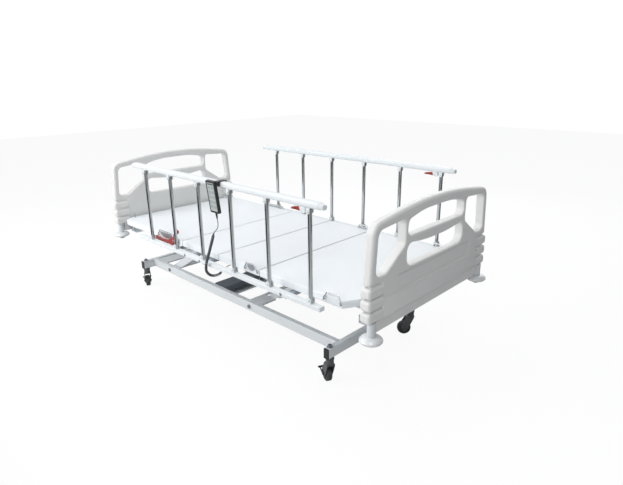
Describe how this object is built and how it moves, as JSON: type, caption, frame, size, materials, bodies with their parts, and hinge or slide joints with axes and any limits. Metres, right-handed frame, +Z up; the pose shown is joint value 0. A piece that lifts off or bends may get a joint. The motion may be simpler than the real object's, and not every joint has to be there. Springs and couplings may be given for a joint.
{
  "type": "electric hospital bed",
  "caption": "Electric hospital bed: four-section hinged platform on a parallel-arm lift base with casters, moulded end boards, fold-down side rails, bumpers and a corded hand control",
  "frame": {"origin": "On the floor, midway between the two end boards and midway between the two side rails", "axes": "+X along the bed toward its foot end, +Y toward the patient's left side, +Z up"},
  "size_m": [2.1764, 1.0578, 0.9267],
  "materials": {
    "base_paint": "satin",
    "black_plastic": "satin",
    "zinc": "satin",
    "caster_black": "satin",
    "caster_tyre": "matte",
    "pedal_black": "satin",
    "frame_paint": "satin",
    "bracket_paint": "satin",
    "deck_paint": "satin",
    "wire_plate": "satin",
    "board_plastic": "satin",
    "post_paint": "satin",
    "bumper_plastic": "gloss",
    "post_chrome": "polished",
    "red_plastic": "gloss",
    "actuator_grey": "satin",
    "rod_steel": "polished",
    "box_plastic": "satin",
    "cord_rubber": "matte"
  },
  "bodies": {
    "base": {"base_frame": "base_paint", "base_end_caps": "black_plastic", "base_bolts": "zinc"},
    "caster_head_right": {"caster_fork_head_right": "caster_black"},
    "wheel_head_right": {"caster_wheel_head_right": "caster_tyre"},
    "brake_head_right": {"brake_pedal_head_right": "pedal_black"},
    "caster_head_left": {"caster_fork_head_left": "caster_black"},
    "wheel_head_left": {"caster_wheel_head_left": "caster_tyre"},
    "caster_foot_right": {"caster_fork_foot_right": "caster_black"},
    "wheel_foot_right": {"caster_wheel_foot_right": "caster_tyre"},
    "brake_foot_right": {"brake_pedal_foot_right": "pedal_black"},
    "caster_foot_left": {"caster_fork_foot_left": "caster_black"},
    "wheel_foot_left": {"caster_wheel_foot_left": "caster_tyre"},
    "head_arms": {"head_lift_arms": "base_paint"},
    "foot_arms": {"foot_lift_arms": "base_paint"},
    "lift_housing": {"lift_actuator": "actuator_grey"},
    "lift_slide": {"lift_rod": "rod_steel"},
    "frame": {"bed_frame": "frame_paint", "frame_brackets": "bracket_paint", "seat_section": "deck_paint", "control_box": "box_plastic", "head_board": "board_plastic", "foot_board": "board_plastic", "board_posts": "post_paint", "right_rail_bar": "frame_paint", "left_rail_bar": "frame_paint"},
    "back": {"back_section": "deck_paint", "back_keepers": "wire_plate"},
    "thigh": {"thigh_section": "deck_paint", "thigh_keepers": "wire_plate"},
    "leg": {"leg_section": "deck_paint", "leg_keepers": "wire_plate"},
    "back_housing": {"back_actuator": "actuator_grey"},
    "back_slide": {"back_rod": "rod_steel"},
    "knee_housing": {"knee_actuator": "actuator_grey"},
    "knee_slide": {"knee_rod": "rod_steel"},
    "release": {"release_lever": "red_plastic"},
    "handset": {"handset": "black_plastic"},
    "roller_head_right": {"bumper_head_right": "bumper_plastic"},
    "roller_head_left": {"bumper_head_left": "bumper_plastic"},
    "roller_foot_right": {"bumper_foot_right": "bumper_plastic"},
    "roller_foot_left": {"bumper_foot_left": "bumper_plastic"},
    "right_rail": {"right_rail_top": "frame_paint"},
    "right_lock": {"right_rail_lock": "red_plastic"},
    "right_post_1": {"right_rail_post_1": "post_chrome"},
    "right_post_2": {"right_rail_post_2": "post_chrome"},
    "right_post_3": {"right_rail_post_3": "post_chrome"},
    "right_post_4": {"right_rail_post_4": "post_chrome", "handset_cord": "cord_rubber", "curly_cord": "cord_rubber"},
    "right_post_5": {"right_rail_post_5": "post_chrome"},
    "right_post_6": {"right_rail_post_6": "post_chrome"},
    "left_rail": {"left_rail_top": "frame_paint"},
    "left_lock": {"left_rail_lock": "red_plastic"},
    "left_post_1": {"left_rail_post_1": "post_chrome"},
    "left_post_2": {"left_rail_post_2": "post_chrome"},
    "left_post_3": {"left_rail_post_3": "post_chrome"},
    "left_post_4": {"left_rail_post_4": "post_chrome"},
    "left_post_5": {"left_rail_post_5": "post_chrome"},
    "left_post_6": {"left_rail_post_6": "post_chrome"}
  },
  "joints": [
    {"name": "caster_swivel_head_right", "type": "hinge", "parent": "base", "child": "caster_head_right", "pos_m": [-0.955, -0.335, 0.13], "axis": [0, 0, 1], "continuous": true},
    {"name": "wheel_spin_head_right", "type": "hinge", "parent": "caster_head_right", "child": "wheel_head_right", "pos_m": [-0.9863, -0.32171, 0.0375], "axis": [-0.3907, -0.9205, 0], "continuous": true},
    {"name": "brake_pedal_head_right", "type": "hinge", "parent": "caster_head_right", "child": "brake_head_right", "pos_m": [-0.9863, -0.32171, 0.0375], "axis": [-0.3907, -0.9205, 0], "range_deg": [0, 12]},
    {"name": "caster_swivel_head_left", "type": "hinge", "parent": "base", "child": "caster_head_left", "pos_m": [-0.955, 0.335, 0.13], "axis": [0, 0, 1], "continuous": true},
    {"name": "wheel_spin_head_left", "type": "hinge", "parent": "caster_head_left", "child": "wheel_head_left", "pos_m": [-0.98695, 0.32337, 0.0375], "axis": [0.342, -0.9397, 0], "continuous": true},
    {"name": "caster_swivel_foot_right", "type": "hinge", "parent": "base", "child": "caster_foot_right", "pos_m": [0.732, -0.335, 0.13], "axis": [0, 0, 1], "continuous": true},
    {"name": "wheel_spin_foot_right", "type": "hinge", "parent": "caster_foot_right", "child": "wheel_foot_right", "pos_m": [0.70171, -0.31956, 0.0375], "axis": [-0.454, -0.891, 0], "continuous": true},
    {"name": "brake_pedal_foot_right", "type": "hinge", "parent": "caster_foot_right", "child": "brake_foot_right", "pos_m": [0.70171, -0.31956, 0.0375], "axis": [-0.454, -0.891, 0], "range_deg": [0, 12]},
    {"name": "caster_swivel_foot_left", "type": "hinge", "parent": "base", "child": "caster_foot_left", "pos_m": [0.732, 0.335, 0.13], "axis": [0, 0, 1], "continuous": true},
    {"name": "wheel_spin_foot_left", "type": "hinge", "parent": "caster_foot_left", "child": "wheel_foot_left", "pos_m": [0.70673, 0.31225, 0.0375], "axis": [0.6691, -0.7431, 0], "continuous": true},
    {"name": "bed_lift", "type": "hinge", "parent": "base", "child": "head_arms", "pos_m": [-0.743, 0, 0.169], "axis": [0, -1, 0], "range_deg": [-8, 40]},
    {"name": "foot_arm_pivot", "type": "hinge", "parent": "base", "child": "foot_arms", "pos_m": [0.083, 0, 0.169], "axis": [0, -1, 0], "range_deg": [-8, 40]},
    {"name": "frame_level", "type": "hinge", "parent": "head_arms", "child": "frame", "pos_m": [-0.31577, 0, 0.42876], "axis": [0, -1, 0], "range_deg": [-40, 8]},
    {"name": "lift_actuator_tilt", "type": "hinge", "parent": "base", "child": "lift_housing", "pos_m": [-0.2, 0, 0.165], "axis": [0, -1, 0], "range_deg": [-1.5, 5]},
    {"name": "lift_stroke", "type": "slide", "parent": "lift_housing", "child": "lift_slide", "axis": [-0.9795, 0, 0.2013], "range_m": [-0.014, 0.066]},
    {"name": "back_raise", "type": "hinge", "parent": "frame", "child": "back", "pos_m": [-0.3, 0, 0.4985], "axis": [0, 1, 0], "range_deg": [0, 70]},
    {"name": "back_actuator_tilt", "type": "hinge", "parent": "frame", "child": "back_housing", "pos_m": [0.12, 0, 0.383], "axis": [0, 1, 0], "range_deg": [0, 5]},
    {"name": "back_stroke", "type": "slide", "parent": "back_housing", "child": "back_slide", "axis": [-0.9987, 0, 0.0506], "range_m": [0, 0.104]},
    {"name": "thigh_raise", "type": "hinge", "parent": "frame", "child": "thigh", "pos_m": [0.041, 0, 0.4985], "axis": [0, -1, 0], "range_deg": [0, 35]},
    {"name": "knee_bend", "type": "hinge", "parent": "thigh", "child": "leg", "pos_m": [0.365, 0, 0.4665], "axis": [0, -1, 0], "range_deg": [-53, 0]},
    {"name": "knee_actuator_tilt", "type": "hinge", "parent": "frame", "child": "knee_housing", "pos_m": [0.52, 0, 0.385], "axis": [0, -1, 0], "range_deg": [0, 1]},
    {"name": "knee_stroke", "type": "slide", "parent": "knee_housing", "child": "knee_slide", "axis": [-1, 0, 0.005], "range_m": [-0.0715, 0]},
    {"name": "back_release", "type": "hinge", "parent": "frame", "child": "release", "pos_m": [-0.352, 0, 0.5], "axis": [0, 1, 0], "range_deg": [0, 25], "stiffness_Nm_per_rad": 1.5, "springref_deg": -17.19},
    {"name": "bumper_spin_head_right", "type": "hinge", "parent": "frame", "child": "roller_head_right", "pos_m": [-1.04, -0.437, 0.392], "axis": [0, 0, 1], "continuous": true},
    {"name": "bumper_spin_head_left", "type": "hinge", "parent": "frame", "child": "roller_head_left", "pos_m": [-1.04, 0.437, 0.392], "axis": [0, 0, 1], "continuous": true},
    {"name": "bumper_spin_foot_right", "type": "hinge", "parent": "frame", "child": "roller_foot_right", "pos_m": [1.04, -0.437, 0.392], "axis": [0, 0, 1], "continuous": true},
    {"name": "bumper_spin_foot_left", "type": "hinge", "parent": "frame", "child": "roller_foot_left", "pos_m": [1.04, 0.437, 0.392], "axis": [0, 0, 1], "continuous": true},
    {"name": "right_rail_fold", "type": "hinge", "parent": "frame", "child": "right_post_4", "pos_m": [0.258, -0.495, 0.498], "axis": [0, -1, 0], "range_deg": [0, 78], "deforming": ["handset_cord", "curly_cord"]},
    {"name": "right_post_pivot_1", "type": "hinge", "parent": "frame", "child": "right_post_1", "pos_m": [-0.51, -0.495, 0.498], "axis": [0, -1, 0], "range_deg": [0, 78]},
    {"name": "right_post_pivot_2", "type": "hinge", "parent": "frame", "child": "right_post_2", "pos_m": [-0.254, -0.495, 0.498], "axis": [0, -1, 0], "range_deg": [0, 78]},
    {"name": "right_post_pivot_3", "type": "hinge", "parent": "frame", "child": "right_post_3", "pos_m": [0.002, -0.495, 0.498], "axis": [0, -1, 0], "range_deg": [0, 78]},
    {"name": "right_post_pivot_5", "type": "hinge", "parent": "frame", "child": "right_post_5", "pos_m": [0.514, -0.495, 0.498], "axis": [0, -1, 0], "range_deg": [0, 78]},
    {"name": "right_post_pivot_6", "type": "hinge", "parent": "frame", "child": "right_post_6", "pos_m": [0.77, -0.495, 0.498], "axis": [0, -1, 0], "range_deg": [0, 78]},
    {"name": "right_rail_level", "type": "hinge", "parent": "right_post_4", "child": "right_rail", "pos_m": [0.258, -0.495, 0.876], "axis": [0, -1, 0], "range_deg": [-78, 0]},
    {"name": "right_rail_lock", "type": "hinge", "parent": "right_rail", "child": "right_lock", "pos_m": [0.736, -0.495, 0.88], "axis": [0, 1, 0], "range_deg": [0, 8], "stiffness_Nm_per_rad": 1, "springref_deg": -17.19},
    {"name": "left_rail_fold", "type": "hinge", "parent": "frame", "child": "left_post_4", "pos_m": [0.258, 0.495, 0.498], "axis": [0, -1, 0], "range_deg": [0, 78]},
    {"name": "left_post_pivot_1", "type": "hinge", "parent": "frame", "child": "left_post_1", "pos_m": [-0.51, 0.495, 0.498], "axis": [0, -1, 0], "range_deg": [0, 78]},
    {"name": "left_post_pivot_2", "type": "hinge", "parent": "frame", "child": "left_post_2", "pos_m": [-0.254, 0.495, 0.498], "axis": [0, -1, 0], "range_deg": [0, 78]},
    {"name": "left_post_pivot_3", "type": "hinge", "parent": "frame", "child": "left_post_3", "pos_m": [0.002, 0.495, 0.498], "axis": [0, -1, 0], "range_deg": [0, 78]},
    {"name": "left_post_pivot_5", "type": "hinge", "parent": "frame", "child": "left_post_5", "pos_m": [0.514, 0.495, 0.498], "axis": [0, -1, 0], "range_deg": [0, 78]},
    {"name": "left_post_pivot_6", "type": "hinge", "parent": "frame", "child": "left_post_6", "pos_m": [0.77, 0.495, 0.498], "axis": [0, -1, 0], "range_deg": [0, 78]},
    {"name": "left_rail_level", "type": "hinge", "parent": "left_post_4", "child": "left_rail", "pos_m": [0.258, 0.495, 0.876], "axis": [0, -1, 0], "range_deg": [-78, 0]},
    {"name": "left_rail_lock", "type": "hinge", "parent": "left_rail", "child": "left_lock", "pos_m": [0.736, 0.495, 0.88], "axis": [0, 1, 0], "range_deg": [0, 8], "stiffness_Nm_per_rad": 1, "springref_deg": -17.19},
    {"name": "handset_lift", "type": "slide", "parent": "right_rail", "child": "handset", "axis": [0, 0, 1], "range_m": [0, 0.04]}
  ],
  "couplings": [
    {"joint": "foot_arm_pivot", "follows": "bed_lift", "ratio": 1},
    {"joint": "frame_level", "follows": "bed_lift", "ratio": -1},
    {"joint": "lift_actuator_tilt", "follows": "bed_lift", "ratio": 0.0949},
    {"joint": "lift_stroke", "follows": "bed_lift", "m_per_rad": 0.09277},
    {"joint": "back_actuator_tilt", "follows": "back_raise", "ratio": 0.0638},
    {"joint": "back_stroke", "follows": "back_raise", "m_per_rad": 0.08409},
    {"joint": "knee_bend", "follows": "thigh_raise", "ratio": -1.5},
    {"joint": "knee_actuator_tilt", "follows": "thigh_raise", "ratio": 0.0231},
    {"joint": "knee_stroke", "follows": "thigh_raise", "m_per_rad": -0.11585},
    {"joint": "right_post_pivot_1", "follows": "right_rail_fold", "ratio": 1},
    {"joint": "right_post_pivot_2", "follows": "right_rail_fold", "ratio": 1},
    {"joint": "right_post_pivot_3", "follows": "right_rail_fold", "ratio": 1},
    {"joint": "right_post_pivot_5", "follows": "right_rail_fold", "ratio": 1},
    {"joint": "right_post_pivot_6", "follows": "right_rail_fold", "ratio": 1},
    {"joint": "right_rail_level", "follows": "right_rail_fold", "ratio": -1},
    {"joint": "left_post_pivot_1", "follows": "left_rail_fold", "ratio": 1},
    {"joint": "left_post_pivot_2", "follows": "left_rail_fold", "ratio": 1},
    {"joint": "left_post_pivot_3", "follows": "left_rail_fold", "ratio": 1},
    {"joint": "left_post_pivot_5", "follows": "left_rail_fold", "ratio": 1},
    {"joint": "left_post_pivot_6", "follows": "left_rail_fold", "ratio": 1},
    {"joint": "left_rail_level", "follows": "left_rail_fold", "ratio": -1}
  ]
}
